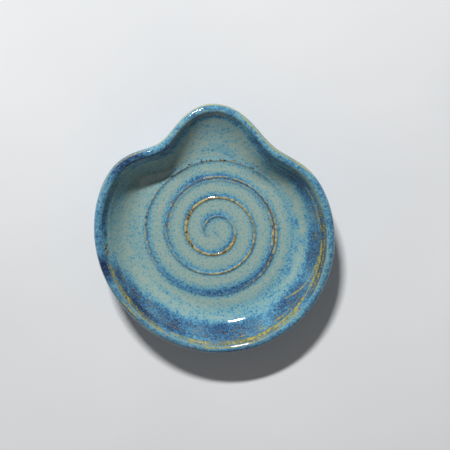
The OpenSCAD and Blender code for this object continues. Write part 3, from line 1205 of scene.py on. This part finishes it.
@dataclass(frozen=True)
class ThrownPiece:
    """One piece of the dish: rows of its profile, spun round the wheel's axis and then pulled into shape."""

    name: str
    node: str
    slot: str
    skin: DishSkin
    columns: int = 360
    weld: float = 0.001
    smooth_angle: float = 40.0
    halo_hold: float = 0.0003
    under_share: float = 0.75
    ochre_inset: float = 14.0
    straw_inset: float = 12.5

    def rows(self) -> list[tuple[float, float]]:
        """Stations and depths of the profile's rows, in order along it."""
        raise NotImplementedError

    def build(self) -> bpy.types.Object:
        """Spins the rows round, at a large scale for clean welds, and moves them to the dish's skin.

        Returns:
            The finished mesh object, with its attributes.
        """
        rows = self.rows()
        stations = np.array([row[0] for row in rows])
        depths = np.array([row[1] for row in rows])
        back_turn = np.full(len(rows), FULL_TURN / 2)
        profile = self.skin.place(stations, depths, back_turn) * THROWING_SCALE
        bpy.ops.object.select_all(action="DESELECT")
        bpy.ops.mesh.primitive_plane_add(size=self.skin.form.bead_radius * THROWING_SCALE)
        piece = bpy.context.active_object
        piece.name = self.name
        piece.data.name = self.name
        bpy.ops.object.mode_set(mode="EDIT")
        bpy.ops.mesh.select_all(action="SELECT")
        bpy.ops.mesh.merge(type="CENTER")
        bpy.ops.transform.translate(value=profile[0])
        for step in np.diff(profile, axis=0):
            bpy.ops.mesh.extrude_vertices_move(TRANSFORM_OT_translate={"value": step})
        bpy.ops.object.mode_set(mode="OBJECT")
        chain = np.array([point.co for point in piece.data.vertices])
        nearest_row = np.argmin(np.linalg.norm(chain[:, None] - profile[None], axis=2), axis=1)
        for label, values in (("station", stations), ("depth", depths)):
            marked = piece.data.attributes.new(label, "FLOAT", "POINT")
            marked.data.foreach_set("value", values[nearest_row])
        bpy.ops.object.mode_set(mode="EDIT")
        bpy.ops.mesh.select_all(action="SELECT")
        bpy.ops.mesh.spin(steps=self.columns, angle=math.tau, center=(0, 0, 0), axis=(0, 0, 1))
        bpy.ops.mesh.select_all(action="SELECT")
        bpy.ops.mesh.remove_doubles(threshold=self.weld)
        bpy.ops.mesh.normals_make_consistent(inside=False)
        bpy.ops.object.mode_set(mode="OBJECT")
        self.pull(piece)
        bpy.ops.object.shade_smooth_by_angle(angle=math.radians(self.smooth_angle))
        return piece

    def pull(self, piece: bpy.types.Object) -> None:
        """Moves the round form's points to the pulled and pressed dish and paints its attributes.

        Args:
            piece: The spun mesh object.
        """
        mesh = piece.data
        count = len(mesh.vertices)
        round_places = np.empty(count * 3)
        mesh.vertices.foreach_get("co", round_places)
        round_places = round_places.reshape(count, 3)
        turn = np.degrees(np.arctan2(round_places[:, 0], round_places[:, 1])) % FULL_TURN
        station = np.empty(count)
        depth = np.empty(count)
        mesh.attributes["station"].data.foreach_get("value", station)
        mesh.attributes["depth"].data.foreach_get("value", depth)
        station = self.settle(station, turn)
        places = self.skin.place(station, depth, turn)
        mesh.vertices.foreach_set("co", places.ravel())
        for label, values in self.paint(station, turn).items():
            mesh.attributes.new(label, "FLOAT", "POINT").data.foreach_set("value", values)
        sweep = mesh.attributes.new("sweep", "FLOAT_VECTOR", "POINT")
        sweep.data.foreach_set("vector", self.streaks(station, turn).ravel())
        mesh.update()

    def settle(self, station: np.ndarray, turn: np.ndarray) -> np.ndarray:
        """Stations of the rows once the glaze has run, which are unchanged on most pieces."""
        return station

    def streaks(self, station: np.ndarray, turn: np.ndarray) -> np.ndarray:
        """Coordinates along which the glaze is streaked."""
        return self.skin.sweep(station, turn)

    def paint(self, station: np.ndarray, turn: np.ndarray) -> dict[str, np.ndarray]:
        """Works out how the glaze lies, with a few patches of painted shade and light: depth of blue, broken
        lines, soot and straw.

        Args:
            station: Stations of the points.
            turn: Turns of the points.

        Returns:
            One array for each attribute that the finishes read.
        """
        skin = self.skin
        radius, _, _ = skin.form.surface(station, turn)
        bead_under = station > Stretch.BEAD + self.under_share
        inset = (skin.form.plan_radius(turn) - radius) / MILLIMETRE
        inset = np.where(bead_under, -inset, inset)
        gap, travel = skin.spiral.nearest(radius, turn)
        floor = station < Stretch.UPPER_WALL
        blue = skin.wall.blue(turn, inset)
        blue = np.maximum(blue, np.where(floor, skin.spiral.halo(gap, travel, self.halo_hold), 0))
        ochre = np.where(floor, skin.spiral.ochre(gap, travel), 0)
        straw_line = skin.wall.straw(turn, inset)
        soot = np.where(floor, skin.spiral.soot(gap, travel), 0)
        soot = np.maximum(soot, skin.wall.flecks(turn, inset))
        straw = soft_step(-inset, -self.ochre_inset, -self.straw_inset)
        return {"blue": blue, "line": np.maximum(ochre, straw_line), "soot": soot, "straw": straw}

    def dress(self, piece: bpy.types.Object, material: bpy.types.Material) -> None:
        """Gives the piece its finish and joins it to the frame.

        Args:
            piece: The finished mesh object.
            material: Its finish.
        """
        piece.data.materials.clear()
        piece.data.materials.append(material)
        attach(piece, "root")
        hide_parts(self.node)
        LOG.info("%s: %d faces, stands for %s", piece.name, len(piece.data.polygons), self.node)


@dataclass(frozen=True)
class FloorGlaze(ThrownPiece):
    """Glaze over the floor, the spiral and the wall up to the throwing line."""

    first_share: float = 0.016
    face_rows: int = 196
    back_rows: int = 40

    def rows(self) -> list[tuple[float, float]]:
        """Rows over the face and back under it.

        Returns:
            Stations and depths, in order.
        """
        last = Stretch.UPPER_WALL - SEAM_SHARE
        face = [0.0, *np.linspace(self.first_share, last, self.face_rows)]
        back = [*np.linspace(last, self.first_share, self.back_rows), 0.0]
        return [(station, 0.0) for station in face] + [(station, BACK_DEPTH) for station in back]


@dataclass(frozen=True)
class RimGlaze(ThrownPiece):
    """Glaze over the rim's bead and the lip's edge."""

    wall_rows: int = 14
    bead_rows: int = 36
    back_rows: int = 18

    def rows(self) -> list[tuple[float, float]]:
        """Rows up the wall, over the bead and back under it.

        Returns:
            Stations and depths, in order.
        """
        first = float(Stretch.UPPER_WALL)
        crest = float(Stretch.BEAD)
        last = Stretch.OUTER_WALL - SEAM_SHARE
        wall = np.linspace(first, crest, self.wall_rows)
        face = [*wall, *np.linspace(crest, last, self.bead_rows)[1:]]
        back = np.linspace(last, first, self.back_rows)
        ring = [(station, 0.0) for station in face] + [(station, BACK_DEPTH) for station in back]
        return ring + ring[:1]


@dataclass(frozen=True)
class OutsideGlaze(ThrownPiece):
    """Glaze down the outer wall to the glaze line over the foot."""

    face_rows: int = 60
    roll_rows: int = 12
    back_rows: int = 16
    roll_share: float = 0.03
    roll_swell: float = 0.35
    wave_share: float = 0.018
    top_blue: float = 0.58
    middle_blue: float = 0.42
    roll_blue: float = 0.70
    edge_straw: float = 0.8
    edge_soot: float = 0.85
    top_reach_share: float = 0.35
    roll_shares: tuple[float, float] = (0.72, 0.95)
    straw_shares: tuple[float, float] = (0.955, 0.99)
    soot_shares: tuple[float, float] = (0.93, 0.99)
    edge_waves: Waves = ((2, 30, 1.0), (5, -70, 0.5), (11, 0, 0.25))
    depth_waves: Waves = ((2, 50, 0.05), (5, 0, 0.025))

    def rows(self) -> list[tuple[float, float]]:
        """Rows down the wall, round the thick edge and back under the glaze.

        Returns:
            Stations and depths, in order.
        """
        first = float(Stretch.OUTER_WALL)
        last = first + self.skin.glaze_line_share
        roll = last - self.roll_share
        face = [(station, 0.0) for station in np.linspace(first, roll, self.face_rows)]
        for share in np.linspace(0, 1, self.roll_rows)[1:]:
            fall = 1 - math.sqrt(1 - share**2)
            swelling = self.roll_swell * math.sin(math.pi * share)
            face.append((mix(roll, last, share), BACK_DEPTH * fall - swelling))
        back = [(station, BACK_DEPTH) for station in np.linspace(last, first, self.back_rows)[1:]]
        return face + back + face[:1]

    def settle(self, station: np.ndarray, turn: np.ndarray) -> np.ndarray:
        """Lets the edge run a little further down at some turns than at others.

        Args:
            station: Stations of the points.
            turn: Turns of the points.

        Returns:
            The stations once it has run.
        """
        line = self.skin.glaze_line_share
        low = soft_step(station - Stretch.OUTER_WALL, line / 2, line)
        return station + self.wave_share * waves(turn, self.edge_waves) * low

    def streaks(self, station: np.ndarray, turn: np.ndarray) -> np.ndarray:
        """Coordinates for runs down the wall."""
        return self.skin.runs(station, turn)

    def paint(self, station: np.ndarray, turn: np.ndarray) -> dict[str, np.ndarray]:
        """Works out how the glaze lies on the outer wall: thick under the rim and at its lower edge.

        Args:
            station: Stations of the points.
            turn: Turns of the points.

        Returns:
            One array for each attribute that the finishes read.
        """
        down = (station - Stretch.OUTER_WALL) / self.skin.glaze_line_share
        blue = mix(self.top_blue, self.middle_blue, soft_step(down, 0.0, self.top_reach_share))
        blue = blue + waves(turn, self.depth_waves)
        blue = mix(blue, self.roll_blue, soft_step(down, *self.roll_shares))
        return {
            "blue": blue,
            "line": self.edge_straw * soft_step(down, *self.straw_shares),
            "soot": self.edge_soot * soft_step(down, *self.soot_shares),
            "straw": np.ones_like(turn),
        }


@dataclass(frozen=True)
class ClayDish(ThrownPiece):
    """The stoneware dish under the glaze, bare from the glaze line to the foot and under it."""

    inside_rows: int = 70
    rim_rows: int = 24
    outer_rows: int = 40
    foot_rows: int = 6
    base_rows: int = 130
    first_share: float = 0.02
    toast_share: float = 0.09
    foot_toast: float = 0.6

    def rows(self) -> list[tuple[float, float]]:
        """Rows from the middle of the floor over the rim and down to the middle of the base.

        Returns:
            Stations and depths, in order.
        """
        inside = [0.0, *np.linspace(self.first_share, Stretch.BEAD - SEAM_SHARE, self.inside_rows)]
        rim = np.linspace(Stretch.BEAD, Stretch.OUTER_WALL - SEAM_SHARE, self.rim_rows)
        outer = np.linspace(Stretch.OUTER_WALL, Stretch.FOOT - SEAM_SHARE, self.outer_rows)
        corner_count = len(self.skin.form.foot_corners())
        last_corner = Stretch.FOOT + (corner_count - 2) / (corner_count - 1)
        foot = np.linspace(Stretch.FOOT, last_corner, self.foot_rows)
        base = np.linspace(last_corner, Stretch.FOOT + 1, self.base_rows)[1:]
        return [(station, 1.0) for station in (*inside, *rim, *outer, *foot, *base)]

    def paint(self, station: np.ndarray, turn: np.ndarray) -> dict[str, np.ndarray]:
        """Marks the clay that the fire toasted, under the glaze's edge and round the foot.

        Args:
            station: Stations of the points.
            turn: Turns of the points; not used.

        Returns:
            The toast attribute.
        """
        line = Stretch.OUTER_WALL + self.skin.glaze_line_share
        edge = np.exp(-(((station - line) / self.toast_share) ** 2))
        foot = np.exp(-(((station - Stretch.FOOT) / self.toast_share) ** 2))
        return {"toast": np.maximum(edge, self.foot_toast * foot)}


@dataclass(frozen=True)
class Lamp:
    """A soft lamp that faces the middle of the dish, with its rise over the table and its turn in degrees."""

    name: str
    width: float
    height: float
    distance: float
    rise: float
    turn: float
    power: float

    def hang(self) -> None:
        """Adds the lamp to the scene."""
        lift = math.radians(self.rise)
        around = math.radians(self.turn)
        way = Vector(
            (math.sin(around) * math.cos(lift), math.cos(around) * math.cos(lift), math.sin(lift))
        )
        bpy.ops.object.light_add(type="AREA", location=way * self.distance)
        lamp = bpy.context.active_object
        lamp.name = self.name
        lamp.rotation_euler = way.to_track_quat("Z", "Y").to_euler()
        lamp.data.shape = "RECTANGLE"
        lamp.data.size = self.width
        lamp.data.size_y = self.height
        lamp.data.energy = self.power


@dataclass(frozen=True)
class Studio:
    """Camera over the dish, soft light from behind the lip and a pale table."""

    distance: float = 0.5
    tilt: float = 13.3
    view_width: float = 0.225
    aim_right: float = 0.00515
    aim_up: float = 0.00195
    sensor: float = 36.0
    table_side: float = 4.0
    table_drop: float = 0.00005
    table_roughness: float = 0.9
    table_gloss: float = 0.1
    lamps: tuple[Lamp, ...] = (
        Lamp("key", width=0.27, height=0.06, distance=1.5, rise=39.0, turn=-15.0, power=29.2),
        Lamp("fill", width=1.2, height=1.2, distance=1.8, rise=42.0, turn=165.0, power=1.3),
    )
    sky_tint: tuple[float, float, float, float] = (0.96, 0.98, 1.0, 1.0)
    table_cloud_scale: float = 6.0
    table_cloud_detail: float = 3.0
    sky_strength: float = 0.125

    def camera(self) -> bpy.types.Object:
        """Makes the camera at the photograph's angle.

        Returns:
            The camera.
        """
        tilt = math.radians(self.tilt)
        back = Vector((0, math.sin(tilt), math.cos(tilt)))
        up = Vector((0, math.cos(tilt), -math.sin(tilt)))
        right = Vector((1, 0, 0))
        eye = right * self.aim_right + up * self.aim_up + back * self.distance
        bpy.ops.object.camera_add()
        camera = bpy.context.active_object
        camera.name = "view_from_above"
        turned = Matrix((right, up, back)).transposed().to_4x4()
        camera.matrix_world = Matrix.Translation(eye) @ turned
        camera.data.sensor_width = self.sensor
        camera.data.lens = self.sensor * self.distance / self.view_width
        camera.data.clip_start = self.distance / IMAGE_SIDE
        bpy.context.scene.camera = camera
        return camera

    def light(self) -> None:
        """Lights the dish from behind the lip, fills the shade and sets the pale sky."""
        for lamp in self.lamps:
            lamp.hang()
        world = bpy.data.worlds.new("pale_sky")
        world.use_nodes = True
        world.node_tree.nodes["Background"].inputs["Color"].default_value = self.sky_tint
        world.node_tree.nodes["Background"].inputs["Strength"].default_value = self.sky_strength
        bpy.context.scene.world = world

    def table(self) -> None:
        """Makes the plain pale table."""
        bpy.ops.object.select_all(action="DESELECT")
        bpy.ops.mesh.primitive_plane_add(size=self.table_side, location=(0, 0, -self.table_drop))
        table = bpy.context.active_object
        table.name = "pale_table"
        material, desk, shader, place = new_material("pale_table")
        cloud = desk.noise(place, self.table_cloud_scale, self.table_cloud_detail)
        tint = desk.ramp(cloud, ((0.35, Tint.TABLE_SHADE), (0.65, Tint.TABLE)))
        desk.put(tint, shader.inputs["Base Color"])
        shader.inputs["Roughness"].default_value = self.table_roughness
        shader.inputs["Specular IOR Level"].default_value = self.table_gloss
        table.data.materials.append(material)


def main() -> None:
    """Builds the studio and the dish's pieces."""
    logging.basicConfig(level=logging.INFO, format="%(name)s: %(message)s")
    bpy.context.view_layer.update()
    scene = bpy.context.scene
    scene.view_settings.view_transform = "Standard"
    studio = Studio()
    studio.camera()
    studio.light()
    studio.table()
    skin = DishSkin()
    effects = GlazeEffects()
    dressed = (
        (ClayDish("clay_dish", "stoneware_body", "stoneware", skin), ClayFinish().material()),
        (
            FloorGlaze("floor_glaze", "inside_glaze", "inside_glaze", skin),
            GlazeFinish("floor_glaze", grain=1.0, blot=0.28, streak=0.5).material(effects),
        ),
        (
            RimGlaze("rim_band_glaze", "rim_glaze", "rim_glaze", skin),
            GlazeFinish("rim_band_glaze", grain=0.95, blot=0.7, streak=0.8).material(effects),
        ),
        (
            OutsideGlaze("outer_wall_glaze", "outside_glaze", "outside_glaze", skin),
            GlazeFinish("outer_wall_glaze", grain=0.9, blot=0.5, streak=0.9).material(effects),
        ),
    )
    for maker, material in dressed:
        maker.dress(maker.build(), material)


if __name__ == "__main__":
    main()
